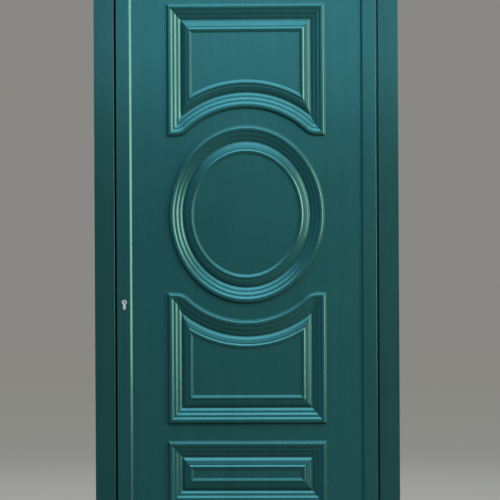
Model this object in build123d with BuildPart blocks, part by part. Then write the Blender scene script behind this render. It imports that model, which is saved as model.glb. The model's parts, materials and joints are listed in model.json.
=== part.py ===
from build123d import *
import os
from math import asin, cos, radians, sin, sqrt, tan

os.makedirs("parts", exist_ok=True)

# Panelled entrance door in its frame, seen from outside along +Y: lock on the left, hinges on the right.
# Millimetres. The origin is on the floor, at the middle of the frame's width and depth.

# Door set
frame_width = 1000.0
frame_height = 2150.0
frame_depth = 70.0

# Extruded profiles: sizes run inwards from the frame's outer edge
wall = 2.0
jamb_face = 66.0
stop_width = 20.0
stop_depth = 24.0
reveal = 6.0
seal_gap = 5.0
stile_face = 44.0
slope_width = 7.0
lip_gap = 0.8
lip_nose = 2.5
rebate_height = 11.0
arris_radius = 2.5
threshold_height = 12.0
drain_bevel = 5.0

# Infill panel and its mouldings
panel_recess = 6.0
panel_thickness = 32.0
panel_edge_gap = 2.0
board_thickness = 11.0
moulding_side_margin = 116.0
moulding_width = 87.0
moulding_relief = 16.0
oval_inset = 4.5
arch_drop = 91.0
arch_span_share = 0.795
foot_curve = 60.0
foot_curve_share = 0.8
least_foot = 4.0
lowest_field = 18.0
level_run_share = 1.147

# Heights on the visible panel, as shares of its height from the bottom
lowest_bottom_share = 0.0967
lower_bottom_share = 0.2375
lower_arch_share = 0.4140
oval_centre_share = 0.5934
oval_half_height_share = 0.1517
upper_arch_share = 0.7730
upper_top_share = 0.9523

# The moulding's section: shares of its width, and heights as shares of its relief
outer_section_shares = (
    (0.0, 0.0),
    (0.055, 0.46),
    (0.12, 0.56),
    (0.165, 0.52),
    (0.235, 0.26),
    (0.305, 0.21),
    (0.38, -0.07),
    (0.45, -0.12),
    (0.535, -0.44),
    (0.85, 0.375),
    (0.97, 0.125),
)
inner_section_shares = ((0.0, 0.0), (0.08, -0.25), (0.16, -0.25), (0.5, 0.0))

# Seals, beads and setting blocks
seal_width = 8.0
seal_foot = 1.0
soft_gap = 0.3
inner_gasket_thickness = 3.0
bead_wall = 1.5
block_length = 100.0
block_spacing = 500.0
sweep_blade = 3.0
sweep_end_gap = 6.0

# Corner cleats
cleat_leg = 70.0
cleat_thickness = 18.0
seat_gap = 0.2

# Wall fixings through the jambs
fixing_radius = 4.0
fixing_end = 300.0

# Hinges
hinge_end = 230.0
hinge_length = 130.0
hinge_gap = 1.0
barrel_radius = 10.0
wing_width = 28.0
wing_thickness = 4.0
pin_radius = 5.0
pin_sink = 40.0
pin_rise = 46.0

# Lock, cylinder and handle
backset = 45.0
cylinder_height = 952.0
lever_rise = 85.0
faceplate_width = 22.0
faceplate_length = 230.0
groove_depth = 3.0
strike_length = 190.0
case_thickness = 15.0
case_wall = 1.5
case_below = 36.0
case_above = 46.0
case_gap = 0.5
fit_gap = 0.05
slide_gap = 0.2
lever_bolt_height = 20.0
lever_bolt_rise = 18.0
lever_bolt_head = 24.0
lever_bolt_nose = 2.0
claw_thickness = 2.0
claw_drop = 6.0
claw_gap = 0.5
dead_bolt_height = 28.0
dead_bolt_rise = 12.0
dead_bolt_length = 45.0
slot_gap = 1.0
follower_boss = 8.0
arm_length = 15.0
arm_width = 6.0
arm_lean = 21.0
tail_gap = 2.0
spindle_side = 8.0
spindle_reach = 25.0
cylinder_head = 8.5
cylinder_web = 10.0
cylinder_tall = 33.0
cylinder_proud = 2.0
plug_radius = 6.5
plug_sink = 0.5
keyway_width = 2.6
keyway_height = 9.0
keyway_depth = 25.0
cam_width = 9.0
cam_radius = 7.4
cam_reach = 10.4
cam_nose = 7.0
cam_gap = 0.3
plate_width = 24.0
plate_length = 235.0
plate_thickness = 8.0
plate_edge = 2.0
neck_radius = 9.0
lever_standoff = 52.0
lever_length = 118.0
lever_height = 20.0
lever_thickness = 9.0
lever_bend = 22.0
lever_tip = 4.0

# How far cuts run past what they cut
overrun = 5.0

# Places that follow from the sizes: s runs inwards from the frame's outer edge, y through the door
half_width = frame_width / 2
out_y = -frame_depth / 2
in_y = frame_depth / 2
stop_y = out_y + stop_depth
shoulder_y = stop_y + seal_gap
back_width = jamb_face - stop_width
leaf_front = jamb_face + reveal
leaf_back = back_width + reveal
slope_start = leaf_front + stile_face
sight = slope_start + slope_width
slope_depth = panel_recess - lip_gap
slope_y = out_y + slope_depth
lip_root = sight - lip_nose - (slope_depth - wall) * slope_width / slope_depth
rebate_base = sight - rebate_height
panel_edge = rebate_base + panel_edge_gap
face_y = out_y + panel_recess
panel_back_y = face_y + panel_thickness
bead_y = panel_back_y + inner_gasket_thickness
hardware_y = (shoulder_y + in_y) / 2
groove_width = faceplate_width + 2 * seat_gap
groove_low = hardware_y - groove_width / 2
groove_high = hardware_y + groove_width / 2
leaf_foot = threshold_height - back_width
leaf_bottom = leaf_foot + leaf_back
leaf_top = frame_height - leaf_back
lip_top = threshold_height + stop_width
visible_bottom = leaf_foot + sight
visible_height = frame_height - sight - visible_bottom
panel_half_width = half_width - panel_edge
panel_height = frame_height - leaf_foot - 2 * panel_edge
panel_middle_z = (frame_height + leaf_foot) / 2
moulding_half_width = half_width - sight - moulding_side_margin
sides = ("lock", "hinge", "top", "bottom")


def finish(piece, name):
    piece.label = name
    export_step(piece, f"parts/{name}.step")


def span_box(x_span, y_span, z_span, mode=Mode.ADD):
    """A box between the given limits, in the part that is being built."""
    spans = (x_span, y_span, z_span)
    with Locations(tuple(sum(span) / 2 for span in spans)):
        Box(*(max(span) - min(span) for span in spans), mode=mode)


def lock_x(s):
    return s - half_width


def hinge_x(s):
    return half_width - s


# Profile bars: each runs along one side of the door, with its section drawn as (s, y)


def side_plane(side, foot):
    """The section's plane at the start of a bar, and the length of its run."""
    if side == "lock":
        return Plane((-half_width, 0, foot), x_dir=(1, 0, 0), z_dir=(0, 0, 1)), frame_height - foot
    if side == "hinge":
        return Plane((half_width, 0, frame_height), x_dir=(-1, 0, 0), z_dir=(0, 0, -1)), frame_height - foot
    if side == "top":
        return Plane((-half_width, 0, frame_height), x_dir=(0, 0, -1), z_dir=(1, 0, 0)), frame_width
    return Plane((half_width, 0, foot), x_dir=(0, 0, 1), z_dir=(-1, 0, 0)), frame_width


def profile_bar(side, foot, section, square=None):
    """A bar with mitred ends; square names an end, "start" or "end", that is cut straight."""
    plane, run = side_plane(side, foot)
    start = 0 if square == "start" else sight
    end = run if square == "end" else run - sight
    with BuildPart() as bar:
        extrude(section(plane), amount=run)
        with BuildSketch(Plane(plane.origin, x_dir=plane.x_dir, z_dir=plane.x_dir.cross(plane.z_dir))):
            Polygon((0, 0), (sight, start), (sight, end), (0, run))
        extrude(amount=frame_depth, both=True, mode=Mode.INTERSECT)
    return bar.part


def frame_section(plane):
    with BuildSketch(plane) as section:
        Polygon(
            (0, out_y),
            (jamb_face, out_y),
            (jamb_face, stop_y),
            (back_width, stop_y),
            (back_width, in_y),
            (0, in_y),
        )
        fillet(section.vertices().group_by(Axis.Y)[0].sort_by(Axis.X)[-1], arris_radius)
        groove_base = back_width - groove_depth
        for low, high in (
            ((wall, out_y + wall), (groove_base - wall, in_y - wall)),
            ((groove_base, out_y + wall), (jamb_face - wall, stop_y - wall)),
            ((groove_base, groove_low), (back_width, groove_high)),
        ):
            Polygon(low, (high[0], low[1]), high, (low[0], high[1]), mode=Mode.SUBTRACT)
    return section.sketch


def leaf_section(plane):
    with BuildSketch(plane) as section:
        Polygon(
            (leaf_front, out_y),
            (slope_start, out_y),
            (sight, slope_y),
            (sight - lip_nose, slope_y),
            (lip_root, out_y + wall),
            (rebate_base, out_y + wall),
            (rebate_base, in_y),
            (leaf_back, in_y),
            (leaf_back, shoulder_y),
            (leaf_front, shoulder_y),
        )
        fillet(section.vertices().group_by(Axis.Y)[0], arris_radius)
        groove_base = leaf_back + groove_depth
        for low, high in (
            ((leaf_front + wall, out_y + wall), (rebate_base - wall, shoulder_y)),
            ((groove_base + wall, shoulder_y + wall), (rebate_base - wall, in_y - wall)),
            ((leaf_back, groove_low), (groove_base, groove_high)),
        ):
            Polygon(low, (high[0], low[1]), high, (low[0], high[1]), mode=Mode.SUBTRACT)
    return section.sketch


def bead_section(plane):
    slope_in_y = in_y - slope_depth
    with BuildSketch(plane) as section:
        Polygon(
            (rebate_base, bead_y),
            (sight, bead_y),
            (sight, slope_in_y),
            (slope_start, in_y),
            (rebate_base, in_y),
        )
        Polygon(
            (rebate_base + bead_wall, bead_y + bead_wall),
            (sight - bead_wall, bead_y + bead_wall),
            (sight - bead_wall, slope_in_y - bead_wall),
            (slope_start - bead_wall, in_y - bead_wall),
            (rebate_base + bead_wall, in_y - bead_wall),
            mode=Mode.SUBTRACT,
        )
    return section.sketch


def seal_section(plane):
    """A bulb on the frame's stop, just short of the leaf's shoulder."""
    middle = (leaf_back + jamb_face) / 2
    low, high = middle - seal_width / 2, middle + seal_width / 2
    foot_y, crown_y = stop_y + seal_foot, shoulder_y - soft_gap
    with BuildSketch(plane) as section:
        with BuildLine():
            Polyline((low, foot_y), (low, stop_y), (high, stop_y), (high, foot_y))
            ThreePointArc((high, foot_y), (middle, crown_y), (low, foot_y))
        make_face()
    return section.sketch


def outer_gasket_section(plane):
    with BuildSketch(plane) as section:
        Polygon(
            (panel_edge, out_y + wall),
            (lip_root, out_y + wall),
            (sight - lip_nose, slope_y),
            (sight - lip_nose + lip_gap, face_y),
            (panel_edge, face_y),
        )
    return section.sketch


def inner_gasket_section(plane):
    with BuildSketch(plane) as section:
        Polygon(
            (panel_edge, panel_back_y),
            (sight - lip_gap, panel_back_y),
            (sight - lip_gap, bead_y),
            (panel_edge, bead_y),
        )
    return section.sketch


def ring_of(section):
    """Four mitred bars of a soft profile, joined to one loop."""
    bars = [profile_bar(side, leaf_foot, section) for side in sides]
    with BuildPart() as ring:
        for bar in bars:
            add(bar)
    return ring.part


# Places of the lock's pieces
lever_z = cylinder_height + lever_rise
cylinder_x = lock_x(leaf_back + backset)
lever_bolt_low = lever_z + lever_bolt_rise - lever_bolt_height / 2
lever_bolt_high = lever_bolt_low + lever_bolt_height
dead_bolt_low = cylinder_height + dead_bolt_rise
dead_bolt_high = dead_bolt_low + dead_bolt_height
bolt_front = leaf_back + soft_gap
case_front = leaf_back + groove_depth
case_back = rebate_base - wall - case_gap
case_low = cylinder_height - case_below
case_high = lever_z + case_above
case_y = (hardware_y - case_thickness / 2, hardware_y + case_thickness / 2)
slider_y = (case_y[0] + case_wall + slide_gap, case_y[1] - case_wall - slide_gap)
faceplate_middle = (case_low + case_high) / 2
strike_middle = (dead_bolt_low + lever_bolt_high) / 2
plate_middle = (cylinder_height + lever_z) / 2

# Places of the hinges: the pin's line stands over the inner joint between frame and leaf
hinge_s = back_width + reveal / 2
hinge_line_y = in_y + barrel_radius + hinge_gap
hinge_heights = (leaf_bottom + hinge_end, (leaf_top + leaf_bottom) / 2, leaf_top - hinge_end)
wing_near = barrel_radius + hinge_gap
frame_wing_s = hinge_s - wing_near - wing_width / 2
leaf_wing_s = hinge_s + wing_near + wing_width / 2


def euro_profile(plane, gap=0):
    """The key cylinder's outline: a round head over a narrow web with a round foot."""
    foot_z = cylinder_height - (cylinder_tall - cylinder_head - cylinder_web / 2)
    with BuildSketch(plane) as outline:
        with Locations((cylinder_x, cylinder_height)):
            Circle(cylinder_head + gap)
        with Locations((cylinder_x, (cylinder_height + foot_z) / 2)):
            Rectangle(cylinder_web + 2 * gap, cylinder_height - foot_z)
        with Locations((cylinder_x, foot_z)):
            Circle(cylinder_web / 2 + gap)
    return outline.sketch


def cut_along_y(sketch, length):
    """Cuts a sketch that stands across the door through the part, towards +Y."""
    extrude(sketch, amount=length, dir=(0, 1, 0), mode=Mode.SUBTRACT)


def cross_plane(y):
    return Plane.XZ.offset(-y)


# Frame: jambs, head and threshold
lock_jamb_bar = profile_bar("lock", 0, frame_section, square="start")
hinge_jamb_bar = profile_bar("hinge", 0, frame_section, square="end")
fixing_heights = (fixing_end, frame_height - fixing_end)
pocket_y = (slider_y[0] - slot_gap, slider_y[1] + slot_gap)
bolt_spans = ((lever_bolt_low, lever_bolt_high), (dead_bolt_low, dead_bolt_high))
pocket_spans = [(low - slot_gap, high + slot_gap) for low, high in bolt_spans]


def fixing_holes(low_x, high_x):
    with BuildSketch(Plane.YZ.offset(low_x - overrun)) as holes:
        with Locations(*((hardware_y, height) for height in fixing_heights)):
            Circle(fixing_radius)
    extrude(holes.sketch, amount=high_x - low_x + 2 * overrun, mode=Mode.SUBTRACT)


with BuildPart() as lock_jamb:
    add(lock_jamb_bar)
    fixing_holes(lock_x(0), lock_x(back_width))
    for z_span in pocket_spans:
        groove_base = back_width - groove_depth
        span_box((lock_x(groove_base - wall), lock_x(groove_base)), pocket_y, z_span, Mode.SUBTRACT)
finish(lock_jamb.part, "lock_jamb")

with BuildPart() as hinge_jamb:
    add(hinge_jamb_bar)
    fixing_holes(hinge_x(back_width), hinge_x(0))
finish(hinge_jamb.part, "hinge_jamb")

finish(profile_bar("top", 0, frame_section), "head")

with BuildPart() as threshold:
    with BuildSketch(Plane.YZ):
        Polygon(
            (out_y, 0),
            (in_y, 0),
            (in_y, threshold_height),
            (stop_y, threshold_height),
            (stop_y, lip_top),
            (out_y + drain_bevel, lip_top),
            (out_y, lip_top - drain_bevel),
        )
        for low, high in (
            ((out_y + wall, wall), (stop_y - wall, lip_top - drain_bevel - wall)),
            ((stop_y, wall), (in_y - wall, threshold_height - wall)),
        ):
            Polygon(low, (high[0], low[1]), high, (low[0], high[1]), mode=Mode.SUBTRACT)
    extrude(amount=half_width - back_width, both=True)
    for inner_x, outer_x in ((hinge_x(jamb_face), half_width), (-half_width, lock_x(jamb_face))):
        span_box((inner_x, outer_x), (out_y - overrun, stop_y), (-overrun, lip_top + overrun), Mode.SUBTRACT)
finish(threshold.part, "threshold")


def cleat_outline(low, high, way, top):
    """An angle of two legs in one corner; way is -1 at the lock side and 1 at the hinge side."""
    tip = high + cleat_leg
    corners = ((low, low), (tip, low), (tip, high), (high, high), (high, tip), (low, tip))
    return [(way * (half_width - s), frame_height - t if top else leaf_foot + t) for s, t in corners]


with BuildPart() as frame_cleats:
    with BuildSketch(cross_plane(out_y + wall + seat_gap)):
        for way in (-1, 1):
            Polygon(*cleat_outline(wall + seat_gap, back_width - groove_depth - wall - seat_gap, way, True))
    extrude(amount=-cleat_thickness)
finish(frame_cleats.part, "frame_cleats")

finish(ring_of(seal_section), "frame_seal")

with BuildPart() as strike_plate:
    with BuildSketch(Plane.YZ.offset(lock_x(back_width - groove_depth))):
        with Locations((hardware_y, strike_middle)):
            Rectangle(faceplate_width, strike_length)
        for z_span in pocket_spans:
            with Locations((hardware_y, sum(z_span) / 2)):
                Rectangle(pocket_y[1] - pocket_y[0], z_span[1] - z_span[0], mode=Mode.SUBTRACT)
    extrude(amount=groove_depth)
finish(strike_plate.part, "strike_plate")

# Leaf: stiles and rails
leaf_bars = {side: profile_bar(side, leaf_foot, leaf_section) for side in sides}

with BuildPart() as lock_stile:
    add(leaf_bars["lock"])
    span_box(
        (lock_x(case_front - wall), lock_x(case_front + 2 * wall)),
        (case_y[0] - case_gap, case_y[1] + case_gap),
        (case_low - case_gap, case_high + case_gap),
        Mode.SUBTRACT,
    )
    cut_along_y(euro_profile(cross_plane(out_y - overrun), case_gap), frame_depth + 2 * overrun)
    with BuildSketch(cross_plane(in_y - wall - overrun)) as spindle_hole:
        with Locations((cylinder_x, lever_z)):
            Circle(follower_boss)
    cut_along_y(spindle_hole.sketch, wall + 2 * overrun)
finish(lock_stile.part, "lock_stile")

finish(leaf_bars["hinge"], "hinge_stile")
finish(leaf_bars["top"], "top_rail")
finish(leaf_bars["bottom"], "bottom_rail")

with BuildPart() as leaf_cleats:
    with BuildSketch(cross_plane(shoulder_y + wall + seat_gap)):
        for way in (-1, 1):
            for top in (True, False):
                low = leaf_back + groove_depth + wall + seat_gap
                Polygon(*cleat_outline(low, rebate_base - wall - seat_gap, way, top))
    extrude(amount=-cleat_thickness)
finish(leaf_cleats.part, "leaf_cleats")

# Infill panel: a moulded outer board, an insulating core and a plainer inner board


def level(share):
    return visible_bottom + share * visible_height


def fielded_panel(low, high, section_shares, front_y, way):
    """A rectangular panel of flat slopes; way is -1 on the outer board and 1 on the inner one."""
    for (near_share, near_height), (far_share, far_height) in zip(section_shares, section_shares[1:]):
        if near_height == far_height:
            continue
        inset = near_share * moulding_width
        wide = 2 * (moulding_half_width - inset)
        tall = high - low - 2 * inset * level_run_share
        run = (far_share - near_share) * moulding_width
        rise = run * level_run_share
        step = (far_height - near_height) * moulding_relief
        turn = 0 if step * way > 0 else 180
        with Locations((0, front_y + way * near_height * moulding_relief, (low + high) / 2)):
            Wedge(
                wide,
                abs(step),
                tall,
                run,
                rise,
                wide - run,
                tall - rise,
                rotation=(turn, 0, 0),
                align=(Align.CENTER, Align.MIN, Align.CENTER),
                mode=Mode.ADD if step > 0 else Mode.SUBTRACT,
            )


def oval_outline(inset, y):
    """The middle panel."""
    half_height = oval_half_height_share * visible_height
    with BuildSketch(cross_plane(y)) as outline:
        with Locations((0, level(oval_centre_share))):
            Ellipse(moulding_half_width - oval_inset - inset, half_height - inset * level_run_share)
    return outline.sketch


def arched_outline(inset, y, arch_share, far_share):
    """A panel whose side towards the oval is an arch between two small level feet."""
    way = 1 if far_share > arch_share else -1
    half = moulding_half_width - inset
    far = level(far_share) - way * inset * level_run_share
    crown = level(arch_share) + way * inset * level_run_share
    span = arch_span_share * moulding_half_width
    radius = (span**2 + arch_drop**2) / (2 * arch_drop) + inset
    foot_drop = arch_drop
    foot_reach = sqrt(radius**2 - (radius - foot_drop) ** 2)
    if half - foot_reach < least_foot:
        foot_reach = half - least_foot
        foot_drop = radius - sqrt(radius**2 - foot_reach**2)
    foot = crown - way * foot_drop
    foot_turn = asin(foot_reach / radius)
    widest_curve = foot_curve_share * (half - foot_reach) / tan(foot_turn / 2)
    curve = min(max(foot_curve - inset, 2 * least_foot), widest_curve)
    with BuildSketch(cross_plane(y)) as outline:
        with BuildLine():
            Polyline(
                (-foot_reach, foot),
                (-half, foot),
                (-half, far),
                (half, far),
                (half, foot),
                (foot_reach, foot),
            )
            ThreePointArc((foot_reach, foot), (0, crown), (-foot_reach, foot))
        make_face()
        foot_points = outline.vertices().group_by(Axis.Y)[0 if way > 0 else -1].sort_by(Axis.X)
        fillet(foot_points[1:3], curve)
    return outline.sketch


def upper_outline(inset, y):
    return arched_outline(inset, y, upper_arch_share, upper_top_share)


def lower_outline(inset, y):
    return arched_outline(inset, y, lower_arch_share, lower_bottom_share)


board_back_y = face_y + board_thickness
lowest_bottom = level(lowest_bottom_share)
lowest_top = lowest_bottom + 2 * moulding_width * level_run_share + lowest_field
with BuildPart() as outer_board:
    board_x = (-panel_half_width, panel_half_width)
    board_z = (panel_middle_z - panel_height / 2, panel_middle_z + panel_height / 2)
    span_box(board_x, (face_y, board_back_y), board_z)
    for outline in (upper_outline, oval_outline, lower_outline):
        pocket = [outline(0, board_back_y + overrun), outline(0, face_y - overrun)]
        loft(pocket, ruled=True, mode=Mode.SUBTRACT)
        stations = [
            outline(width_share * moulding_width, face_y - height_share * moulding_relief)
            for width_share, height_share in outer_section_shares
        ]
        loft([outline(0, board_back_y)] + stations, ruled=True)
    fielded_panel(lowest_bottom, lowest_top, outer_section_shares, face_y, -1)
finish(outer_board.part, "outer_board")

oval_top_share = oval_centre_share + oval_half_height_share
oval_bottom_share = oval_centre_share - oval_half_height_share
with BuildPart() as inner_board:
    span_box(board_x, (panel_back_y - board_thickness, panel_back_y), board_z)
    fielded_panel(lowest_bottom, lowest_top, inner_section_shares, panel_back_y, 1)
    for low_share, high_share in (
        (lower_bottom_share, lower_arch_share),
        (oval_bottom_share, oval_top_share),
        (upper_arch_share, upper_top_share),
    ):
        fielded_panel(level(low_share), level(high_share), inner_section_shares, panel_back_y, 1)
finish(inner_board.part, "inner_board")

with BuildPart() as panel_core:
    core_y = (board_back_y, panel_back_y - board_thickness)
    span_box(board_x, core_y, board_z)
finish(panel_core.part, "panel_core")

finish(ring_of(outer_gasket_section), "outer_gasket")
finish(ring_of(inner_gasket_section), "inner_gasket")

with BuildPart() as setting_blocks:
    for way in (-1, 1):
        middle = way * block_spacing / 2
        span_box(
            (middle - block_length / 2, middle + block_length / 2),
            (face_y, panel_back_y),
            (leaf_foot + rebate_base, leaf_foot + panel_edge),
        )
finish(setting_blocks.part, "setting_blocks")

for side in sides:
    finish(profile_bar(side, leaf_foot, bead_section), f"{side}_bead")

with BuildPart() as bottom_sweep:
    sweep_reach = half_width - leaf_back - sweep_end_gap
    sweep_x = (-sweep_reach, sweep_reach)
    strip_y = (hardware_y - faceplate_width / 2, hardware_y + faceplate_width / 2)
    span_box(sweep_x, strip_y, (leaf_bottom, leaf_bottom + groove_depth))
    blade_y = (hardware_y - sweep_blade / 2, hardware_y + sweep_blade / 2)
    span_box(sweep_x, blade_y, (threshold_height + soft_gap, leaf_bottom))
finish(bottom_sweep.part, "bottom_sweep")

# Lift-off hinges: the frame's barrel holds the pin, and the leaf's barrel turns on its tip


def barrel_length(low, high, radius):
    """A round length on the hinge line."""
    with BuildSketch(Plane.XY.offset(low)) as barrel:
        with Locations((hinge_x(hinge_s), hinge_line_y)):
            Circle(radius)
    return extrude(barrel.sketch, amount=high - low, mode=Mode.PRIVATE)


def hinge_wing(s, z_span, bore_span):
    """One half: a plate on the inner face, and a barrel with a blind bore for the pin."""
    plate_x = (hinge_x(s + wing_width / 2), hinge_x(s - wing_width / 2), hinge_x(hinge_s))
    with BuildPart() as wing:
        span_box((min(plate_x), max(plate_x)), (in_y, in_y + wing_thickness), z_span)
        add(barrel_length(*z_span, barrel_radius))
        add(barrel_length(*bore_span, pin_radius), mode=Mode.SUBTRACT)
    return wing.part


hinge_halves = {"frame": [], "leaf": []}
for height in hinge_heights:
    frame_barrel = (height - hinge_length / 2, height - hinge_gap / 2)
    frame_bore = (height - pin_sink, height)
    hinge_halves["frame"].append(hinge_wing(frame_wing_s, frame_barrel, frame_bore))
    leaf_barrel = (height + hinge_gap / 2, height + hinge_length / 2)
    leaf_bore = (height, height + pin_rise + fit_gap)
    hinge_halves["leaf"].append(hinge_wing(leaf_wing_s, leaf_barrel, leaf_bore))

for side, halves in hinge_halves.items():
    with BuildPart() as hinge_set:
        for half in halves:
            add(half)
    finish(hinge_set.part, f"{side}_hinge_halves")

with BuildPart() as hinge_pins:
    for height in hinge_heights:
        add(barrel_length(height - pin_sink, height + pin_rise, pin_radius - fit_gap))
finish(hinge_pins.part, "hinge_pins")

# Lock case, cover and faceplate
case_x = (lock_x(case_front), lock_x(case_back))
cylinder_hole = euro_profile(cross_plane(case_y[0] - overrun), soft_gap)
with BuildSketch(cross_plane(case_y[0] - overrun)) as boss_hole:
    with Locations((cylinder_x, lever_z)):
        Circle(follower_boss + fit_gap)

with BuildPart() as lock_case:
    span_box(case_x, (case_y[0] + case_wall, case_y[1]), (case_low, case_high))
    span_box(
        (case_x[0] - overrun, case_x[1] - case_wall),
        (case_y[0], case_y[1] - case_wall),
        (case_low + case_wall, case_high - case_wall),
        Mode.SUBTRACT,
    )
    for hole in (cylinder_hole, boss_hole.sketch):
        cut_along_y(hole, case_thickness + 2 * overrun)
finish(lock_case.part, "lock_case")

with BuildPart() as lock_cover:
    span_box(case_x, (case_y[0], case_y[0] + case_wall), (case_low, case_high))
    for hole in (cylinder_hole, boss_hole.sketch):
        cut_along_y(hole, case_thickness + 2 * overrun)
finish(lock_cover.part, "lock_cover")

with BuildPart() as lock_faceplate:
    with BuildSketch(Plane.YZ.offset(lock_x(leaf_back))):
        with Locations((hardware_y, faceplate_middle)):
            Rectangle(faceplate_width, faceplate_length)
        for low, high in bolt_spans:
            with Locations((hardware_y, (low + high) / 2)):
                opening = slider_y[1] - slider_y[0] + 2 * slide_gap
                Rectangle(opening, high - low + 2 * slide_gap, mode=Mode.SUBTRACT)
    extrude(amount=groove_depth)
finish(lock_faceplate.part, "lock_faceplate")

# Bolt thrown by the lever: its tail has two claws, one on each side of the follower's arm
axis_s = leaf_back + backset
tail_low = lever_z + arm_length + tail_gap
claw_low = tail_low - claw_drop
lean_sin, lean_cos = sin(radians(arm_lean)), cos(radians(arm_lean))
arm_front = axis_s + ((claw_low - lever_z) * lean_sin - arm_width / 2) / lean_cos
arm_rear = axis_s + arm_length * lean_sin + arm_width / 2 * lean_cos
rear_claw = arm_rear + claw_gap
front_claw = arm_front - claw_gap - claw_thickness
head_end = bolt_front + lever_bolt_head
with BuildPart() as lever_bolt:
    span_box((lock_x(bolt_front), lock_x(head_end)), slider_y, (lever_bolt_low, lever_bolt_high))
    chamfer(lever_bolt.edges().filter_by(Axis.Z).group_by(Axis.X)[0], lever_bolt_nose)
    span_box((lock_x(head_end), lock_x(rear_claw + claw_thickness)), slider_y, (tail_low, lever_bolt_high))
    for claw in (front_claw, rear_claw):
        span_box((lock_x(claw), lock_x(claw + claw_thickness)), slider_y, (claw_low, tail_low))
finish(lever_bolt.part, "lever_bolt")

with BuildPart() as dead_bolt:
    dead_bolt_x = (lock_x(bolt_front), lock_x(bolt_front + dead_bolt_length))
    span_box(dead_bolt_x, slider_y, (dead_bolt_low, dead_bolt_high))
finish(dead_bolt.part, "dead_bolt")

# Follower, spindle and lever
arm_plane = Plane((cylinder_x, slider_y[0], lever_z), x_dir=(lean_cos, 0, -lean_sin), z_dir=(0, -1, 0))
with BuildPart() as follower:
    with BuildSketch(arm_plane) as arm:
        with Locations((0, arm_length / 2)):
            Rectangle(arm_width, arm_length)
    extrude(arm.sketch, amount=-(slider_y[1] - slider_y[0]))
    with BuildSketch(cross_plane(case_y[0])) as boss:
        with Locations((cylinder_x, lever_z)):
            Circle(follower_boss)
    extrude(boss.sketch, amount=-case_thickness)
    spindle_hole_x = (cylinder_x - spindle_side / 2 - fit_gap, cylinder_x + spindle_side / 2 + fit_gap)
    spindle_hole_z = (lever_z - spindle_side / 2 - fit_gap, lever_z + spindle_side / 2 + fit_gap)
    span_box(spindle_hole_x, (case_y[0] - overrun, case_y[1] + overrun), spindle_hole_z, Mode.SUBTRACT)
finish(follower.part, "follower")

with BuildPart() as spindle:
    span_box(
        (cylinder_x - spindle_side / 2, cylinder_x + spindle_side / 2),
        (case_y[0], in_y + spindle_reach),
        (lever_z - spindle_side / 2, lever_z + spindle_side / 2),
    )
finish(spindle.part, "spindle")

neck_y = in_y + fit_gap
lever_back_y = in_y + lever_standoff
with BuildPart() as lever_handle:
    with BuildSketch(cross_plane(neck_y)) as neck:
        with Locations((cylinder_x, lever_z)):
            Circle(neck_radius)
    extrude(neck.sketch, amount=-(lever_back_y - lever_bend - neck_y))
    with BuildSketch(Plane.XY.offset(lever_z - lever_height / 2)) as bar:
        start_x = cylinder_x - lever_thickness / 2
        with BuildLine():
            Polyline(
                (cylinder_x + lever_thickness / 2, lever_back_y - lever_bend),
                (start_x, lever_back_y - lever_bend),
                (start_x, lever_back_y),
                (cylinder_x + lever_length, lever_back_y),
                (cylinder_x + lever_length, lever_back_y - lever_thickness),
                (cylinder_x + lever_thickness / 2, lever_back_y - lever_thickness),
                close=True,
            )
        make_face()
        inner_corner = bar.vertices().group_by(Axis.Y)[1].sort_by(Axis.X)[0]
        fillet(inner_corner, lever_bend - lever_tip - lever_thickness)
        fillet(bar.vertices().group_by(Axis.X)[0].sort_by(Axis.Y)[-1], lever_bend - lever_tip)
        fillet(bar.vertices().group_by(Axis.X)[-1], lever_tip)
    extrude(bar.sketch, amount=lever_height)
    span_box(spindle_hole_x, (in_y - overrun, in_y + spindle_reach + fit_gap), spindle_hole_z, Mode.SUBTRACT)
finish(lever_handle.part, "lever_handle")

with BuildPart() as handle_plate:
    with BuildSketch(cross_plane(in_y)) as plate_outline:
        with Locations((cylinder_x, plate_middle)):
            Rectangle(plate_width, plate_length)
    extrude(plate_outline.sketch, amount=-plate_thickness)
    chamfer(handle_plate.edges().group_by(Axis.Y)[-1], plate_edge)
    with BuildSketch(cross_plane(in_y - overrun)) as neck_hole:
        with Locations((cylinder_x, lever_z)):
            Circle(neck_radius + fit_gap)
    cut_along_y(neck_hole.sketch, plate_thickness + 2 * overrun)
    cut_along_y(euro_profile(cross_plane(in_y - overrun), soft_gap), plate_thickness + 2 * overrun)
finish(handle_plate.part, "handle_plate")

# Key cylinder: body, two plugs and the cam between them
cylinder_y = (out_y - cylinder_proud, in_y + plate_thickness + cylinder_proud)
cam_y = (hardware_y - cam_width / 2, hardware_y + cam_width / 2)
cam_room = (cam_y[0] - cam_gap, cam_y[1] + cam_gap)
with BuildSketch(cross_plane(cylinder_y[0])) as plug_bore:
    with Locations((cylinder_x, cylinder_height)):
        Circle(plug_radius + fit_gap)

with BuildPart() as cylinder_body:
    extrude(euro_profile(cross_plane(cylinder_y[0])), amount=-(cylinder_y[1] - cylinder_y[0]))
    cut_along_y(plug_bore.sketch, cylinder_y[1] - cylinder_y[0])
    span_box(
        (cylinder_x - cylinder_head - overrun, cylinder_x + cylinder_head + overrun),
        cam_room,
        (cylinder_height - cam_reach - slot_gap, cylinder_height + cylinder_head + overrun),
        Mode.SUBTRACT,
    )
finish(cylinder_body.part, "cylinder_body")

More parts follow.
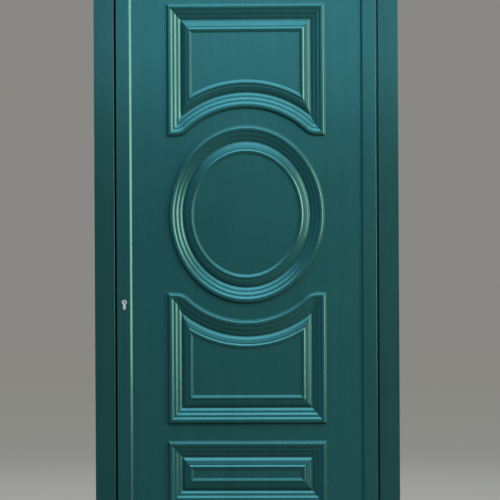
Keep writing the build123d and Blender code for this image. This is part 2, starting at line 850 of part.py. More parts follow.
for name, start, length, key_face in (
    ("outer_plug", cylinder_y[0] + plug_sink, cam_y[0] - cylinder_y[0] - plug_sink, cylinder_y[0]),
    ("inner_plug", cam_y[1], cylinder_y[1] - plug_sink - cam_y[1], cylinder_y[1]),
):
    with BuildPart() as plug:
        with BuildSketch(cross_plane(start)) as round_plug:
            with Locations((cylinder_x, cylinder_height)):
                Circle(plug_radius)
        extrude(round_plug.sketch, amount=-length)
        span_box(
            (cylinder_x - keyway_width / 2, cylinder_x + keyway_width / 2),
            (key_face - keyway_depth, key_face + keyway_depth),
            (cylinder_height - keyway_height / 2, cylinder_height + keyway_height / 2),
            Mode.SUBTRACT,
        )
    finish(plug.part, name)

with BuildPart() as cam:
    with BuildSketch(cross_plane(cam_y[0])) as ring:
        with Locations((cylinder_x, cylinder_height)):
            Circle(cam_radius)
        with Locations((cylinder_x, cylinder_height - (cam_reach - cam_nose / 2) / 2)):
            Rectangle(cam_nose, cam_reach - cam_nose / 2)
        with Locations((cylinder_x, cylinder_height - cam_reach + cam_nose / 2)):
            Circle(cam_nose / 2)
    extrude(ring.sketch, amount=-cam_width)
finish(cam.part, "cam")
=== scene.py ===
import bmesh
import bpy
import json
from math import asin, cos, pi, radians, sin, sqrt, tan
from mathutils import Matrix, Quaternion, Vector


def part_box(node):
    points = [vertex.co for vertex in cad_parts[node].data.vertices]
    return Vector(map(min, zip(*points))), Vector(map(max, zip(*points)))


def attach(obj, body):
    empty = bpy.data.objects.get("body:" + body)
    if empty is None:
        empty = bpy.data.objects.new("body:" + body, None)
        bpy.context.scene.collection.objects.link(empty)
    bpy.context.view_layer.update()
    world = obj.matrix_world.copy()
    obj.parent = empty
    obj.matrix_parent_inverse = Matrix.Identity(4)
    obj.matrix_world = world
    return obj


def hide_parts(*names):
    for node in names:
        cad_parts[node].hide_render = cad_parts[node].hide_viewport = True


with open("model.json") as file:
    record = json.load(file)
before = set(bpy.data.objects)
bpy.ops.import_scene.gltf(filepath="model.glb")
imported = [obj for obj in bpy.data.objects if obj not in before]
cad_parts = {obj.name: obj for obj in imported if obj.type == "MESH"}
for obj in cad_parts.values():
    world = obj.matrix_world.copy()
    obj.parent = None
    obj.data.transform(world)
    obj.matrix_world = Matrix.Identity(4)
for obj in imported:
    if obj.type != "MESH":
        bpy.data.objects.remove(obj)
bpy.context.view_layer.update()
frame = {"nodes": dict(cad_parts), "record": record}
nodes = frame["nodes"]
record = frame["record"]
scene = bpy.context.scene
scene.view_settings.view_transform = "Standard"
slotOf = {part["node"]: part["material_slot"] for part in record["subparts"]}
bodyOf = {
    node: body
    for body, members in record["behaviour"]["bodies"].items()
    for node in members
}
print("frame loaded:", len(nodes), "nodes")

# Camera: far back and nearly square on, with the photograph's slight roll
viewpoint = {
    "imagePixels": 500,
    "metresPerPixel": 0.003289,
    "doorMiddlePixel": 246.5,
    "floorPixel": 591.2,
    "facePlane": -0.03,  # y of the door's face
    "distance": 6.5,
    "azimuth": 1.5,  # degrees
    "roll": -0.3,  # degrees
}


def makeCamera(v):
    half = v["imagePixels"] / 2
    aim = Vector((
        (half - v["doorMiddlePixel"]) * v["metresPerPixel"],
        v["facePlane"],
        (v["floorPixel"] - half) * v["metresPerPixel"],
    ))
    turn = radians(v["azimuth"])
    back = Vector((sin(turn), -cos(turn), 0))
    roll = Quaternion((0, 0, 1), radians(v["roll"]))
    camera = bpy.data.objects.new("photoCamera", bpy.data.cameras.new("photoCamera"))
    scene.collection.objects.link(camera)
    camera.location = aim + back * v["distance"]
    camera.rotation_mode = "QUATERNION"
    camera.rotation_quaternion = (-back).to_track_quat("-Z", "Y") @ roll
    span = v["imagePixels"] * v["metresPerPixel"]  # width of the picture at the door's face
    camera.data.lens = camera.data.sensor_width * v["distance"] / span
    scene.camera = camera


makeCamera(viewpoint)


# Shader helpers
def addNode(tree, kind, settings=None, inputs=None):
    node = tree.nodes.new(kind)
    for key, value in (settings or {}).items():
        setattr(node, key, value)
    for key, value in (inputs or {}).items():
        if isinstance(value, bpy.types.NodeSocket):
            tree.links.new(value, node.inputs[key])
        else:
            node.inputs[key].default_value = value
    return node


def calc(tree, operation, first, second):
    return addNode(tree, "ShaderNodeMath", {"operation": operation}, {0: first, 1: second}).outputs[0]


def seenRays(tree):  # rays that show the pale surroundings: straight, mirrored or through glass
    rays = addNode(tree, "ShaderNodeLightPath").outputs
    mirrored = calc(tree, "MAXIMUM", rays["Is Glossy Ray"], rays["Is Transmission Ray"])
    return calc(tree, "MAXIMUM", rays["Is Camera Ray"], mirrored)


# Studio: a wide pale floor, pale air behind the door, and soft lamps
studio = {
    "floorColour": (0.055, 0.054, 0.050, 1),
    "floorGlow": (0.225, 0.22, 0.20, 1),
    "floorRoughness": 0.9,
    "floorHalf": 14.0,
    "airColour": (0.25, 0.245, 0.23, 1),
    "airStrength": 1.0,
    "fillColour": (0.90, 0.96, 1.0, 1),
    "fillStrength": 0.01,
}
lampColours = {
    "cool": (0.51, 0.80, 1.0),
    "warm": (1.0, 0.68, 0.48),
    "plain": (1.0, 1.0, 0.97),
}
lampBeam = 120  # degrees
lamps = {  # place, aim, width and height, watts, colour
    "sky": ((0.0, -3.0, 7.0), (0.0, 0.0, 1.0), (12.0, 5.5), 510, "cool"),
    "overFront": ((0.0, -1.5, 3.0), (0.0, 0.0, 1.8), (2.0, 0.8), 1.2, "cool"),
    "frontTop": ((0.1, -2.0, 2.2), (0.1, 0.0, 1.98), (2.0, 0.9), 5.0, "cool"),
    "rightFront": ((2.4, -3.1, 1.6), (0.0, 0.0, 1.2), (0.7, 2.6), 6, "warm"),
    "rightSide": ((3.0, -1.3, 1.75), (0.0, 0.0, 1.25), (1.4, 2.6), 78, "warm"),
    "inside": ((0.8, 4.2, 3.2), (0.0, 0.1, 1.1), (2.4, 1.6), 75, "plain"),
    "lockSide": ((-3.4, 3.0, 2.4), (0.0, 0.1, 1.1), (1.6, 2.2), 50, "plain"),
}


def deselectAll():
    if bpy.context.object and bpy.context.object.mode != "OBJECT":
        bpy.ops.object.mode_set(mode="OBJECT")
    bpy.ops.object.select_all(action="DESELECT")


def makeFloor(s):
    deselectAll()
    bpy.ops.mesh.primitive_plane_add(size=2 * s["floorHalf"])
    floor = bpy.context.object
    floor.name = "studioFloor"
    material = bpy.data.materials.new("studioFloor")
    material.use_nodes = True
    tree = material.node_tree
    shader = tree.nodes["Principled BSDF"]
    shader.inputs["Base Color"].default_value = s["floorColour"]
    shader.inputs["Roughness"].default_value = s["floorRoughness"]
    shader.inputs["Emission Color"].default_value = s["floorGlow"]
    tree.links.new(seenRays(tree), shader.inputs["Emission Strength"])
    floor.data.materials.append(material)


def makeAir(s):
    world = bpy.data.worlds.new("studioAir")
    world.use_nodes = True
    tree = world.node_tree
    fill = tree.nodes["Background"]
    fill.inputs["Color"].default_value = s["fillColour"]
    fill.inputs["Strength"].default_value = s["fillStrength"]
    shown = {"Color": s["airColour"], "Strength": s["airStrength"]}
    seen = addNode(tree, "ShaderNodeBackground", None, shown)
    pick = addNode(tree, "ShaderNodeMixShader", None, {0: seenRays(tree)})
    tree.links.new(fill.outputs["Background"], pick.inputs[1])
    tree.links.new(seen.outputs["Background"], pick.inputs[2])
    tree.links.new(pick.outputs["Shader"], tree.nodes["World Output"].inputs["Surface"])
    scene.world = world


def makeLamps(table):
    for name, (place, aim, size, watts, colour) in table.items():
        data = bpy.data.lights.new(name + "Lamp", "AREA")
        data.shape = "RECTANGLE"
        data.size, data.size_y = size
        data.energy = watts
        data.color = lampColours[colour]
        data.spread = radians(lampBeam)
        light = bpy.data.objects.new(name + "Lamp", data)
        scene.collection.objects.link(light)
        light.location = place
        light.rotation_mode = "QUATERNION"
        light.rotation_quaternion = (Vector(aim) - Vector(place)).to_track_quat("-Z", "Y")
        light.visible_camera = False


makeFloor(studio)
makeAir(studio)
makeLamps(lamps)
print("studio and lamps placed")

# Patterns that the finishes share
noiseSpan = (0.3, 0.7)  # where most of a noise's values lie
skinOutputs = {"Colour": "NodeSocketColor", "Roughness": "NodeSocketFloat", "Height": "NodeSocketFloat"}


def noiseAt(tree, scale, detail=2.0, stretch=(1, 1, 1)):
    place = addNode(tree, "ShaderNodeTexCoord").outputs["Object"]
    mapping = addNode(tree, "ShaderNodeMapping", None, {"Vector": place, "Scale": stretch})
    inputs = {"Vector": mapping.outputs["Vector"], "Scale": scale, "Detail": detail}
    return addNode(tree, "ShaderNodeTexNoise", None, inputs).outputs["Fac"]


def spread(tree, value, low, high):
    start, end = noiseSpan
    inputs = {"Value": value, "From Min": start, "From Max": end, "To Min": low, "To Max": high}
    return addNode(tree, "ShaderNodeMapRange", None, inputs).outputs["Result"]


def patternOf(tree, noise):  # one noise, run between its low and its high value
    value = noiseAt(tree, noise["scale"], noise["detail"], noise.get("stretch", (1, 1, 1)))
    return spread(tree, value, noise["low"], noise["high"])


def shaded(tree, colour, shade):
    inputs = {0: colour, "Scale": shade}
    return addNode(tree, "ShaderNodeVectorMath", {"operation": "SCALE"}, inputs).outputs[0]


def newGroup(name, inputs):
    group = bpy.data.node_groups.new(name, "ShaderNodeTree")
    for label, (kind, value) in inputs.items():
        socket = group.interface.new_socket(label, in_out="INPUT", socket_type=kind)
        socket.default_value = value
    for label, kind in skinOutputs.items():
        group.interface.new_socket(label, in_out="OUTPUT", socket_type=kind)
    return group, group.nodes.new("NodeGroupInput").outputs


def closeGroup(group, colour, roughness, height):
    result = group.nodes.new("NodeGroupOutput").inputs
    group.links.new(colour, result["Colour"])
    group.links.new(roughness, result["Roughness"])
    group.links.new(height, result["Height"])
    return group


# Satin paint: cloudy and streaky colour, fine orange peel, and a pale patchy tint on what faces up: a
# little dust, and also painted light from above
paint = {
    # painted shade: frame and leaf are darker copies of the board's paint, though all three are one paint
    "frame": (0.0142, 0.081, 0.078, 1),
    "leaf": (0.0152, 0.094, 0.093, 1),
    "board": (0.0160, 0.102, 0.103, 1),
    "metallic": 0.45,
    "roughness": 0.28,
    "specular": 0.25,
    "dustAndTopLight": 0.04,
    "dustAndTopLightColour": (0.42, 0.46, 0.44, 1),
    "dustAndTopLightTilt": (0.2, 0.9),  # how far up a face looks where the dust and painted top light start, and where they are full
    "cloud": {"scale": 2.4, "detail": 4.0, "low": 0.965, "high": 1.035},
    "streak": {"scale": 1.0, "detail": 5.0, "low": 0.95, "high": 1.05, "stretch": (46, 46, 1.1)},
    "grimeAndTopLight": {"scale": 60.0, "detail": 4.0, "low": 0.4, "high": 1.0},
    "smear": {"scale": 7.0, "detail": 4.0, "low": -0.03, "high": 0.03},
    "fine": {"scale": 260.0, "detail": 2.0, "low": -0.025, "high": 0.025},
    "peelScale": 520.0,
    "peelShare": 0.35,
    "waveScale": 70.0,
    "waveShare": 0.65,
    "peelDepth": 0.00005,
}


def paintGroup(p):
    group, given = newGroup("satinPaint", {
        "Colour": ("NodeSocketColor", p["leaf"]),
        "DustAndTopLight": ("NodeSocketFloat", p["dustAndTopLight"]),
        "Roughness": ("NodeSocketFloat", p["roughness"]),
    })
    shade = calc(group, "MULTIPLY", patternOf(group, p["cloud"]), patternOf(group, p["streak"]))
    tinted = shaded(group, given["Colour"], shade)
    normal = addNode(group, "ShaderNodeNewGeometry").outputs["Normal"]
    upward = addNode(group, "ShaderNodeSeparateXYZ", None, {0: normal}).outputs["Z"]
    # faces that look up get a paler tint: partly dust, partly painted light from above
    tilt = {"Value": upward, "From Min": p["dustAndTopLightTilt"][0], "From Max": p["dustAndTopLightTilt"][1]}
    ledge = addNode(group, "ShaderNodeMapRange", None, tilt).outputs["Result"]
    grimeAndTopLight = calc(group, "MULTIPLY", ledge, patternOf(group, p["grimeAndTopLight"]))
    dustAndTopLight = calc(group, "MULTIPLY", grimeAndTopLight, given["DustAndTopLight"])
    dustedAndLit = {"Factor": dustAndTopLight, "A": tinted, "B": p["dustAndTopLightColour"]}
    colour = addNode(group, "ShaderNodeMix", {"data_type": "RGBA"}, dustedAndLit).outputs["Result"]
    smeared = calc(group, "ADD", given["Roughness"], patternOf(group, p["smear"]))
    rough = calc(group, "ADD", smeared, calc(group, "ADD", patternOf(group, p["fine"]), dustAndTopLight))
    peel = calc(group, "MULTIPLY", noiseAt(group, p["peelScale"]), p["peelShare"])
    wave = calc(group, "MULTIPLY", noiseAt(group, p["waveScale"]), p["waveShare"])
    return closeGroup(group, colour, rough, calc(group, "ADD", peel, wave))


# Drawn or brushed metal: fine lines along one axis
brushing = {
    "lineDetail": 4.0,
    "lineShades": (0.88, 1.10),
    "lineRoughness": (-0.07, 0.07),
    "smearScale": 24.0,
    "smearDetail": 4.0,
    "smearShades": (0.93, 1.05),
    "smearRoughness": (-0.05, 0.05),
}
handleColour = (0.60, 0.61, 0.62, 1)
metals = {  # colour, stretch that gives the lines their way, roughness, metallic, depth of the lines
    "bareAluminium": ((0.62, 0.63, 0.64, 1), (9, 900, 900), 0.36, 1.0, 0.00003),
    "lockSteel": ((0.56, 0.56, 0.57, 1), (900, 900, 9), 0.30, 1.0, 0.00003),
    "cylinderNickel": ((0.56, 0.60, 0.57, 1), (1400, 9, 1400), 0.42, 0.45, 0.00002),
    "handleMetal": (handleColour, (1000, 1000, 10), 0.34, 1.0, 0.00003),
    "leverMetal": (handleColour, (10, 1000, 1000), 0.34, 1.0, 0.00003),
}


def metalGroup(b):
    colour, stretch, roughness = metals["lockSteel"][:3]
    group, given = newGroup("brushedMetal", {
        "Colour": ("NodeSocketColor", colour),
        "Stretch": ("NodeSocketVector", stretch),
        "Roughness": ("NodeSocketFloat", roughness),
    })
    place = addNode(group, "ShaderNodeTexCoord").outputs["Object"]
    pulled = {0: place, 1: given["Stretch"]}
    along = addNode(group, "ShaderNodeVectorMath", {"operation": "MULTIPLY"}, pulled).outputs[0]
    drawn = {"Vector": along, "Scale": 1.0, "Detail": b["lineDetail"]}
    lines = addNode(group, "ShaderNodeTexNoise", None, drawn).outputs["Fac"]
    smear = noiseAt(group, b["smearScale"], b["smearDetail"])
    lineShade = spread(group, lines, *b["lineShades"])
    smearShade = spread(group, smear, *b["smearShades"])
    tinted = shaded(group, given["Colour"], calc(group, "MULTIPLY", lineShade, smearShade))
    lineRough = spread(group, lines, *b["lineRoughness"])
    smearRough = spread(group, smear, *b["smearRoughness"])
    rough = calc(group, "ADD", given["Roughness"], calc(group, "ADD", lineRough, smearRough))
    return closeGroup(group, tinted, rough, lines)


# Moulded rubber, plastic and foam: grain, and a smeared shade
graining = {
    "smearScale": 30.0,
    "smearDetail": 4.0,
    "smearShades": (0.8, 1.25),
    "smearRoughness": (-0.08, 0.08),
    "cellShades": (0.9, 1.1),
}
mouldedMaterials = {  # colour, grain in cells to the metre, roughness, depth of the grain
    "sealRubber": ((0.014, 0.014, 0.015, 1), 900.0, 0.62, 0.0001),
    "blockPlastic": ((0.045, 0.045, 0.05, 1), 1200.0, 0.5, 0.00005),
    "coreFoam": ((0.72, 0.75, 0.68, 1), 450.0, 0.85, 0.0003),
}


def mouldedGroup(g):
    colour, grain, roughness = mouldedMaterials["sealRubber"][:3]
    group, given = newGroup("mouldedGrain", {
        "Colour": ("NodeSocketColor", colour),
        "Grain": ("NodeSocketFloat", grain),
        "Roughness": ("NodeSocketFloat", roughness),
    })
    place = addNode(group, "ShaderNodeTexCoord").outputs["Object"]
    grained = {"Vector": place, "Scale": given["Grain"]}
    cells = addNode(group, "ShaderNodeTexVoronoi", None, grained).outputs["Distance"]
    smear = noiseAt(group, g["smearScale"], g["smearDetail"])
    smearShade = spread(group, smear, *g["smearShades"])
    cellShade = spread(group, cells, *g["cellShades"])
    tinted = shaded(group, given["Colour"], calc(group, "MULTIPLY", smearShade, cellShade))
    rough = calc(group, "ADD", given["Roughness"], spread(group, smear, *g["smearRoughness"]))
    return closeGroup(group, tinted, rough, cells)


groups = {"paint": paintGroup(paint), "metal": metalGroup(brushing), "moulded": mouldedGroup(graining)}
bumpStrength = 0.6


# One finish: a group for what changes over the surface, and plain numbers on the shader itself
def makeFinish(name, kind, groupInputs, bumpDistance, shaderInputs):
    material = bpy.data.materials.new(name)
    material.use_nodes = True
    tree = material.node_tree
    shader = tree.nodes["Principled BSDF"]
    skin = addNode(tree, "ShaderNodeGroup", {"node_tree": groups[kind]}, groupInputs).outputs
    raised = {"Height": skin["Height"], "Strength": bumpStrength, "Distance": bumpDistance}
    bump = addNode(tree, "ShaderNodeBump", None, raised)
    tree.links.new(skin["Colour"], shader.inputs["Base Color"])
    tree.links.new(skin["Roughness"], shader.inputs["Roughness"])
    tree.links.new(bump.outputs["Normal"], shader.inputs["Normal"])
    for key, value in shaderInputs.items():
        shader.inputs[key].default_value = value
    return material


def paintFinish(name, colour):
    skin = {"Colour": colour, "DustAndTopLight": paint["dustAndTopLight"], "Roughness": paint["roughness"]}
    plain = {"Metallic": paint["metallic"], "Specular IOR Level": paint["specular"]}
    return makeFinish(name, "paint", skin, paint["peelDepth"], plain)


def metalFinish(name):
    colour, stretch, roughness, metallic, depth = metals[name]
    skin = {"Colour": colour, "Stretch": stretch, "Roughness": roughness}
    return makeFinish(name, "metal", skin, depth, {"Metallic": metallic})


def mouldedFinish(name):
    colour, grain, roughness, depth = mouldedMaterials[name]
    skin = {"Colour": colour, "Grain": grain, "Roughness": roughness}
    return makeFinish(name, "moulded", skin, depth, {"Metallic": 0.0})


finishes = {
    "frame_paint": paintFinish("framePaint", paint["frame"]),
    "leaf_paint": paintFinish("leafPaint", paint["leaf"]),
    "board_paint": paintFinish("boardPaint", paint["board"]),
    "hinge_steel": paintFinish("hingePaint", paint["frame"]),
    "bare_aluminium": metalFinish("bareAluminium"),
    "lock_steel": metalFinish("lockSteel"),
    "cylinder_nickel": metalFinish("cylinderNickel"),
    "handle_metal": metalFinish("handleMetal"),
    "seal_rubber": mouldedFinish("sealRubber"),
    "block_plastic": mouldedFinish("blockPlastic"),
    "core_foam": mouldedFinish("coreFoam"),
}
leverMetal = metalFinish("leverMetal")  # brushed along the lever, across the plate's lines

for nodeName, slotName in slotOf.items():
    finish = leverMetal if nodeName == "lever_handle" else finishes[slotName]
    nodes[nodeName].data.materials.clear()
    nodes[nodeName].data.materials.append(finish)
print("finishes made:", len(finishes) + 1)

# Shared steps for pieces, with angles in degrees
flatWeight = 100


def settle(piece, body, slotName):
    if not piece.data.materials:
        piece.data.materials.append(finishes[slotName])
    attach(piece, body)


def applyBevel(piece, width, steps, angle):
    edge = piece.modifiers.new("edge", "BEVEL")
    edge.width = width
    edge.segments = steps
    edge.limit_method = "ANGLE"
    edge.angle_limit = radians(angle)
    bpy.ops.object.modifier_apply(modifier=edge.name)


def smoothFlat(piece, angle):  # large flat faces stay flat beside small curves
    bpy.ops.object.shade_smooth_by_angle(angle=radians(angle))
    keepFlat = piece.modifiers.new("keepFlat", "WEIGHTED_NORMAL")
    keepFlat.weight = flatWeight
    keepFlat.keep_sharp = True
    bpy.ops.object.modifier_apply(modifier=keepFlat.name)


# Moulded outer board: each panel is a ring of edges, extruded in from station to station of one section
board = {
    "thickness": 0.011,
    "rebateCover": 0.009,
    "mouldingHalfWidth": 0.261,
    "mouldingWidth": 0.087,
    "relief": 0.016,
    "levelRunShare": 1.147,
    "ovalInset": 0.0045,
    "archDrop": 0.091,
    "archSpanShare": 0.795,
    "footCurve": 0.060,
    "footCurveShare": 0.8,
    "leastFoot": 0.004,
    "lowestField": 0.018,
    "faceMargin": 0.003,
    "ovalPoints": 224,
    "archPoints": 72,
    "footPoints": 12,
    "ridgeRound": 0.0011,
    "ridgeSteps": 3,
    "ridgeAngle": 9,  # degrees
    "smoothAngle": 28,  # degrees
    "lowestBottomShare": 0.0967,
    "lowerBottomShare": 0.2375,
    "lowerArchShare": 0.4140,
    "ovalCentreShare": 0.5934,
    "ovalHalfHeightShare": 0.1517,
    "upperArchShare": 0.7730,
    "upperTopShare": 0.9523,
}
sectionShares = (  # shares of the moulding's width and of its relief
    (0.0, 0.0),
    (0.05, 0.44),
    (0.085, 0.54),
    (0.12, 0.56),
    (0.165, 0.52),
    (0.235, 0.28),
    (0.305, 0.20),
    (0.38, -0.06),
    (0.45, -0.16),
    (0.53, -0.44),
    (0.55, -0.44),
    (0.64, -0.05),
    (0.76, 0.19),
    (0.785, 0.16),
    (0.84, 0.375),
    (0.88, 0.36),
    (0.965, 0.125),
)
boardLow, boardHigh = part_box("outer_board")
faceY = boardHigh.y - board["thickness"]
visibleLow = boardLow.z + board["rebateCover"]
visibleHeight = boardHigh.z - board["rebateCover"] - visibleLow


def level(share):
    return visibleLow + share * visibleHeight


def ovalOutline(inset):
    wide = board["mouldingHalfWidth"] - board["ovalInset"] - inset
    tall = board["ovalHalfHeightShare"] * visibleHeight - inset * board["levelRunShare"]
    middle = level(board["ovalCentreShare"])
    count = board["ovalPoints"]
    turns = [2 * pi * step / count for step in range(count)]
    return [(wide * cos(t), middle + tall * sin(t)) for t in turns]


def lowestOutline(inset):
    half = board["mouldingHalfWidth"] - inset
    rise = inset * board["levelRunShare"]
    low = level(board["lowestBottomShare"])
    high = low + 2 * board["mouldingWidth"] * board["levelRunShare"] + board["lowestField"]
    return [(half, low + rise), (half, high - rise), (-half, high - rise), (-half, low + rise)]


def archedOutline(inset, archShare, farShare):
    way = 1 if farShare > archShare else -1
    half = board["mouldingHalfWidth"] - inset
    far = level(farShare) - way * inset * board["levelRunShare"]
    crown = level(archShare) + way * inset * board["levelRunShare"]
    span = board["archSpanShare"] * board["mouldingHalfWidth"]
    drop = board["archDrop"]
    radius = (span**2 + drop**2) / (2 * drop) + inset
    reach = sqrt(radius**2 - (radius - drop) ** 2)
    if half - reach < board["leastFoot"]:
        reach = half - board["leastFoot"]
        drop = radius - sqrt(radius**2 - reach**2)
    widest = board["footCurveShare"] * (half - reach) / tan(asin(reach / radius) / 2)
    curve = min(max(board["footCurve"] - inset, 2 * board["leastFoot"]), widest)
    footX = sqrt((radius + curve) ** 2 - (radius - drop + curve) ** 2)
    lean = asin(footX / (radius + curve))  # where the arch passes into the foot's curve
    rightSide = [(half, far), (half, crown - way * drop)]
    for step in range(board["footPoints"] + 1):
        t = lean * step / board["footPoints"]
        rightSide.append((footX - curve * sin(t), crown - way * (drop - curve * (1 - cos(t)))))
    arch = []
    for step in range(1, board["archPoints"]):
        t = lean * (1 - 2 * step / board["archPoints"])
        arch.append((radius * sin(t), crown - way * radius * (1 - cos(t))))
    leftSide = [(-x, z) for x, z in reversed(rightSide)]
    return rightSide + arch + leftSide


outlines = {
    "upper": lambda inset: archedOutline(inset, board["upperArchShare"], board["upperTopShare"]),
    "oval": ovalOutline,
    "lower": lambda inset: archedOutline(inset, board["lowerArchShare"], board["lowerBottomShare"]),
    "lowest": lowestOutline,
}


def placeRing(mesh, indices, points, y):
    sheet = bmesh.from_edit_mesh(mesh)
    sheet.verts.ensure_lookup_table()
    for index, (x, z) in zip(indices, points):
        sheet.verts[index].co = (x, y, z)
    bmesh.update_edit_mesh(mesh)


def extrudeRing(mesh, indices):
    bpy.ops.mesh.extrude_region_move()
    sheet = bmesh.from_edit_mesh(mesh)
    sheet.verts.index_update()
    sheet.verts.ensure_lookup_table()
    following = []
    for index in indices:
        old = sheet.verts[index]
        following.append(next(e.other_vert(old).index for e in old.link_edges if e.other_vert(old).select))
    return following


def mouldedPanel(name, outline):
    deselectAll()
    first = outline(-board["faceMargin"])
    bpy.ops.mesh.primitive_circle_add(vertices=len(first), radius=1, fill_type="NOTHING")
    panel = bpy.context.object
    panel.name = name
    bpy.ops.object.mode_set(mode="EDIT")
    bpy.ops.mesh.select_all(action="SELECT")
    ring = list(range(len(first)))
    placeRing(panel.data, ring, first, faceY)
    for widthShare, heightShare in sectionShares:
        ring = extrudeRing(panel.data, ring)
        points = outline(widthShare * board["mouldingWidth"])
        placeRing(panel.data, ring, points, faceY - heightShare * board["relief"])
    bpy.ops.mesh.edge_face_add()  # the flat field inside the moulding
    bpy.ops.object.mode_set(mode="OBJECT")
    return panel


def boardBlank(name):  # the rim and the flat back, open in front
    deselectAll()
    border = [
        (boardLow.x, boardLow.z),
        (boardHigh.x, boardLow.z),
        (boardHigh.x, boardHigh.z),
        (boardLow.x, boardHigh.z),
    ]
    bpy.ops.mesh.primitive_circle_add(vertices=len(border), radius=1, fill_type="NOTHING")
    blank = bpy.context.object
    blank.name = name
    bpy.ops.object.mode_set(mode="EDIT")
    placeRing(blank.data, range(len(border)), border, faceY)
    bpy.ops.mesh.select_all(action="SELECT")
    rim = extrudeRing(blank.data, range(len(border)))
    placeRing(blank.data, rim, border, boardHigh.y)
    bpy.ops.mesh.edge_face_add()
    bpy.ops.object.mode_set(mode="OBJECT")
    return blank


def makeOuterBoard():
    panels = [mouldedPanel(name + "Panel", outline) for name, outline in outlines.items()]
    piece = boardBlank("outer_board_moulded")
    for panel in panels:
        panel.select_set(True)
    piece.select_set(True)
    bpy.context.view_layer.objects.active = piece
    bpy.ops.object.join()
    bpy.ops.object.mode_set(mode="EDIT")
    bpy.ops.mesh.select_mode(type="EDGE")
    bpy.ops.mesh.select_all(action="DESELECT")
    bpy.ops.mesh.select_non_manifold(  # open edges only
        extend=False, use_wire=True, use_boundary=True,
        use_multi_face=False, use_non_contiguous=False, use_verts=False,
    )
    bpy.ops.mesh.fill(use_beauty=True)  # the flat face between the mouldings
    bpy.ops.mesh.select_all(action="SELECT")
    bpy.ops.mesh.normals_make_consistent(inside=False)
    bpy.ops.object.mode_set(mode="OBJECT")
    applyBevel(piece, board["ridgeRound"], board["ridgeSteps"], board["ridgeAngle"])
    smoothFlat(piece, board["smoothAngle"])
    settle(piece, "leaf", "board_paint")
    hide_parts("outer_board")
    print("outer board:", len(piece.data.polygons), "faces")


makeOuterBoard()

# Copies of the solids with merged, smooth or softened edges
softening = {
    "mergeDistance": 0.00001,
    "flatAngle": 0.3,  # degrees
    "edgeAngle": 40,  # degrees
    "edgeSteps": 2,
    "smoothAngle": 32,  # degrees
}
edgeRounds = {  # zero keeps the solid's own edges
    "lock_jamb": 0,
    "hinge_jamb": 0,
    "head": 0,
    "lock_stile": 0,
    "hinge_stile": 0,
    "top_rail": 0,
    "bottom_rail": 0,
    "frame_hinge_halves": 0.0006,
    "leaf_hinge_halves": 0.0006,
    "hinge_pins": 0,
    "strike_plate": 0.0005,
    "lock_faceplate": 0.0005,
    "handle_plate": 0.0006,
    "lever_handle": 0.0012,
    "cylinder_body": 0.0003,
    "outer_plug": 0.0002,
    "inner_plug": 0.0002,
    "lever_bolt": 0.0005,
    "dead_bolt": 0.0006,
    "frame_seal": 0,
}


def softenedCopy(nodeName, edgeRound, s):
    deselectAll()
    piece = bpy.data.objects.new(nodeName + "_finished", nodes[nodeName].data.copy())
    scene.collection.objects.link(piece)
    piece.select_set(True)
    bpy.context.view_layer.objects.active = piece
    bpy.ops.object.mode_set(mode="EDIT")
    bpy.ops.mesh.select_all(action="SELECT")
    bpy.ops.mesh.remove_doubles(threshold=s["mergeDistance"])
    bpy.ops.mesh.dissolve_limited(angle_limit=radians(s["flatAngle"]))
    bpy.ops.object.mode_set(mode="OBJECT")
    if edgeRound:
        applyBevel(piece, edgeRound, s["edgeSteps"], s["edgeAngle"])
        bpy.ops.object.mode_set(mode="EDIT")
        bpy.ops.mesh.select_all(action="SELECT")
        bpy.ops.mesh.dissolve_degenerate(threshold=s["mergeDistance"])  # slivers where rounded edges meet
        bpy.ops.object.mode_set(mode="OBJECT")
    smoothFlat(piece, s["smoothAngle"])
    settle(piece, bodyOf[nodeName], slotOf[nodeName])
    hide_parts(nodeName)


for nodeName, edgeRound in edgeRounds.items():
    softenedCopy(nodeName, edgeRound, softening)
print("softened copies:", len(edgeRounds))

# Screws: one raised head with a cross recess, turned and copied to each place
screw = {
    "headRadius": 0.0036,
    "headDepth": 0.0020,
    "crownRadius": 0.0026,
    "crownRise": 0.0005,
    "recessLong": 0.0042,
    "recessWide": 0.0009,
    "recessDepth": 0.0012,
    "sides": 28,
    "edgeRound": 0.00012,
    "edgeSteps": 2,
    "edgeAngle": 30,  # degrees
    "turnStep": 0.7,  # radians from one screw to the next
}
facingLimit = 0.9  # cosine past which a face looks along a direction


def looksAlong(face, way):
    return face.normal.dot(Vector(way)) > facingLimit


def screwBlank(s):
    deselectAll()
    middle = (0, 0, -s["headDepth"] / 2)
    bpy.ops.mesh.primitive_cylinder_add(
        vertices=s["sides"], radius=s["headRadius"], depth=s["headDepth"], location=middle)
    head = bpy.context.object
    bpy.ops.object.transform_apply(location=True)
    bpy.ops.object.mode_set(mode="EDIT")
    bpy.ops.mesh.select_mode(type="FACE")
    bpy.ops.mesh.select_all(action="DESELECT")
    sheet = bmesh.from_edit_mesh(head.data)
    for face in sheet.faces:
        face.select = looksAlong(face, (0, 0, 1))
    bpy.ops.mesh.inset(thickness=s["headRadius"] - s["crownRadius"])
    bpy.ops.transform.translate(value=(0, 0, s["crownRise"]))
    bpy.ops.object.mode_set(mode="OBJECT")
    return head


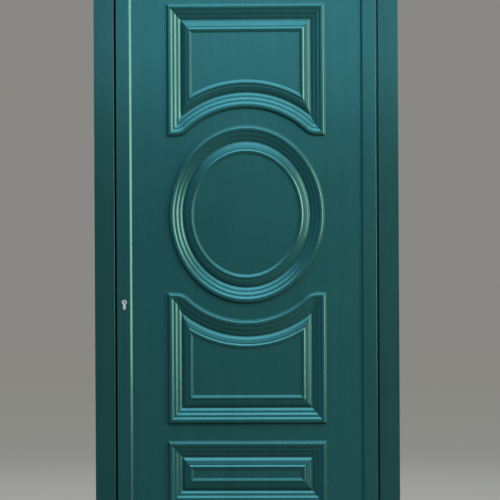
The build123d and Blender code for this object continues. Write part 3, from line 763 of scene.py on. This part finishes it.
def crossCutter(s):
    deselectAll()
    bpy.ops.mesh.primitive_cube_add(size=s["recessWide"])
    cutter = bpy.context.object
    bpy.ops.object.mode_set(mode="EDIT")
    bpy.ops.mesh.select_mode(type="FACE")
    reach = (s["recessLong"] - s["recessWide"]) / 2
    for way in ((1, 0, 0), (-1, 0, 0), (0, 1, 0), (0, -1, 0)):
        bpy.ops.mesh.select_all(action="DESELECT")
        sheet = bmesh.from_edit_mesh(cutter.data)
        for face in sheet.faces:
            central = face.calc_center_median().xy.length < s["recessWide"]
            face.select = central and looksAlong(face, way)
        shift = Vector(way) * reach
        bpy.ops.mesh.extrude_region_move(TRANSFORM_OT_translate={"value": shift})
    bpy.ops.object.mode_set(mode="OBJECT")
    cutter.scale.z = 2 * s["recessDepth"] / s["recessWide"]
    cutter.location.z = s["crownRise"]
    bpy.ops.object.transform_apply(location=True, scale=True)
    return cutter


def makeScrew(s):
    head = screwBlank(s)
    cutter = crossCutter(s)
    deselectAll()
    head.select_set(True)
    bpy.context.view_layer.objects.active = head
    recess = head.modifiers.new("recess", "BOOLEAN")
    recess.operation = "DIFFERENCE"
    recess.object = cutter
    bpy.ops.object.modifier_apply(modifier=recess.name)
    bpy.data.objects.remove(cutter)
    applyBevel(head, s["edgeRound"], s["edgeSteps"], s["edgeAngle"])
    bpy.ops.object.shade_smooth_by_angle(angle=radians(s["edgeAngle"]))
    return head


# Where screws go: the face that they sit in, its outward direction, and their places on it
hinge = {
    "count": 3,
    "pitch": 0.810,
    "halfLength": 0.0645,
    "wingFace": 0.039,  # y of the face that the screws sit in
    "wingWidth": 0.028,
    "screwCount": 3,
    "screwEnd": 0.010,
    "screwStagger": 0.005,
}
lockScrews = {
    "size": 0.85,
    "end": 0.009,
    "cylinderDrop": 0.013,
}
hingeLow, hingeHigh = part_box("frame_hinge_halves")
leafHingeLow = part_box("leaf_hinge_halves")[0]
plateLow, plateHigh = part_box("handle_plate")
faceplateLow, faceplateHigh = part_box("lock_faceplate")
strikeLow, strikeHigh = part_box("strike_plate")
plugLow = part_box("outer_plug")[0]
hardwareY = (faceplateLow.y + faceplateHigh.y) / 2
leverX = (plateLow.x + plateHigh.x) / 2


def wingPlaces(wingMiddle, lowest):
    spots = []
    step = (hinge["halfLength"] - 2 * hinge["screwEnd"]) / (hinge["screwCount"] - 1)
    for hingeIndex in range(hinge["count"]):
        first = lowest + hingeIndex * hinge["pitch"] + hinge["screwEnd"]
        for screwIndex in range(hinge["screwCount"]):
            stagger = hinge["screwStagger"] * (1 if screwIndex % 2 else -1)
            spots.append((wingMiddle + stagger, hinge["wingFace"], first + screwIndex * step))
    return spots


screwSets = {
    "frame_hinge_screws": {
        "body": "frame",
        "facing": (0, 1, 0),
        "size": 1.0,
        "places": wingPlaces(hingeHigh.x - hinge["wingWidth"] / 2, hingeLow.z),
    },
    "leaf_hinge_screws": {
        "body": "leaf",
        "facing": (0, 1, 0),
        "size": 1.0,
        "places": wingPlaces(leafHingeLow.x + hinge["wingWidth"] / 2, leafHingeLow.z),
    },
    "handle_plate_screws": {
        "body": "leaf",
        "facing": (0, 1, 0),
        "size": lockScrews["size"],
        "places": [
            (leverX, plateHigh.y, plateLow.z + lockScrews["end"]),
            (leverX, plateHigh.y, plateHigh.z - lockScrews["end"]),
        ],
    },
    "faceplate_screws": {
        "body": "leaf",
        "facing": (-1, 0, 0),
        "size": lockScrews["size"],
        "places": [
            (faceplateLow.x, hardwareY, faceplateLow.z + lockScrews["end"]),
            (faceplateLow.x, hardwareY, plugLow.z - lockScrews["cylinderDrop"]),
            (faceplateLow.x, hardwareY, faceplateHigh.z - lockScrews["end"]),
        ],
    },
    "strike_screws": {
        "body": "frame",
        "facing": (1, 0, 0),
        "size": lockScrews["size"],
        "places": [
            (strikeHigh.x, hardwareY, strikeLow.z + lockScrews["end"]),
            (strikeHigh.x, hardwareY, strikeHigh.z - lockScrews["end"]),
        ],
    },
}


def placeScrews(head, name, plan):
    deselectAll()
    outward = Vector(plan["facing"]).to_track_quat("Z", "Y")
    size = Vector((plan["size"],) * 3)
    copies = []
    for index, place in enumerate(plan["places"]):
        mesh = head.data.copy()
        turn = Quaternion((0, 0, 1), index * screw["turnStep"])
        mesh.transform(Matrix.LocRotScale(Vector(place), outward @ turn, size))
        copy = bpy.data.objects.new(name, mesh)
        scene.collection.objects.link(copy)
        copy.select_set(True)
        copies.append(copy)
    bpy.context.view_layer.objects.active = copies[0]
    bpy.ops.object.join()
    copies[0].name = name
    settle(copies[0], plan["body"], "lock_steel")


screwHead = makeScrew(screw)
for setName, plan in screwSets.items():
    placeScrews(screwHead, setName, plan)
bpy.data.objects.remove(screwHead)
print("screw sets:", len(screwSets))
